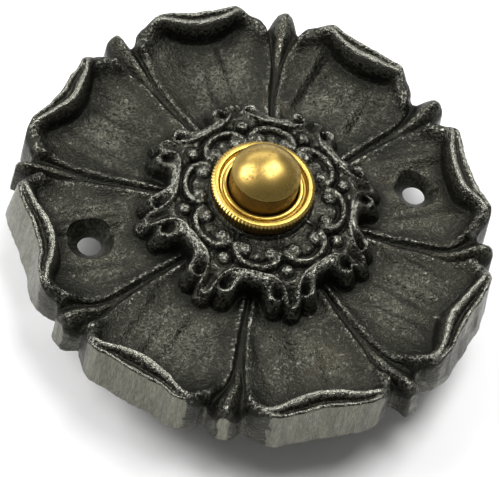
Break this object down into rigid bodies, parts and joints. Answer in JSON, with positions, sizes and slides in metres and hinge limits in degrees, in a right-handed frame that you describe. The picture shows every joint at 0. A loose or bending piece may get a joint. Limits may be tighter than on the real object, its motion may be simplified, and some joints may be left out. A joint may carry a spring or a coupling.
{
  "type": "doorbell push button",
  "caption": "Round doorbell push: a cast iron flower rosette with a carved collar, two countersunk screw holes and a brass push button in a knurled ring.",
  "frame": {"origin": "on the button's axis, at the back face of the rosette where it lies on the wall", "axes": "+Z along the button's axis, out of the wall towards the visitor; +X through the two screw holes"},
  "size_m": [0.0854, 0.0854, 0.0328],
  "materials": {
    "iron": "dark waxed patina with burnished high points",
    "ring_brass": "bright turned",
    "button_brass": "satin, lightly tarnished",
    "screw_brass": "satin",
    "fibre": "vulcanised fibre",
    "moulding": "moulded phenolic",
    "steel": "plain",
    "silver": "silver contact"
  },
  "bodies": {
    "base": {"rosette": "iron", "ring_nut": "ring_brass", "fibre_washer": "fibre", "barrel": "ring_brass", "return_spring": "steel", "contact_base": "moulding", "moving_leaf": "screw_brass", "moving_contact": "silver", "fixed_strip": "screw_brass", "fixed_contact": "silver", "terminal_screw_a": "screw_brass", "terminal_screw_b": "screw_brass", "terminal_washer_a": "screw_brass", "terminal_washer_b": "screw_brass", "terminal_nut_a": "screw_brass", "terminal_nut_b": "screw_brass", "base_screw_a": "screw_brass", "base_screw_b": "screw_brass"},
    "push": {"button": "button_brass", "retaining_clip": "steel", "plunger_tip": "moulding"}
  },
  "joints": [
    {"name": "button_press", "type": "slide", "parent": "base", "child": "push", "axis": [0, 0, -1], "range_m": [0, 0.002], "stiffness_N_per_m": 600, "springref_m": -0.002, "deforming": ["return_spring", "moving_leaf", "moving_contact"]}
  ]
}
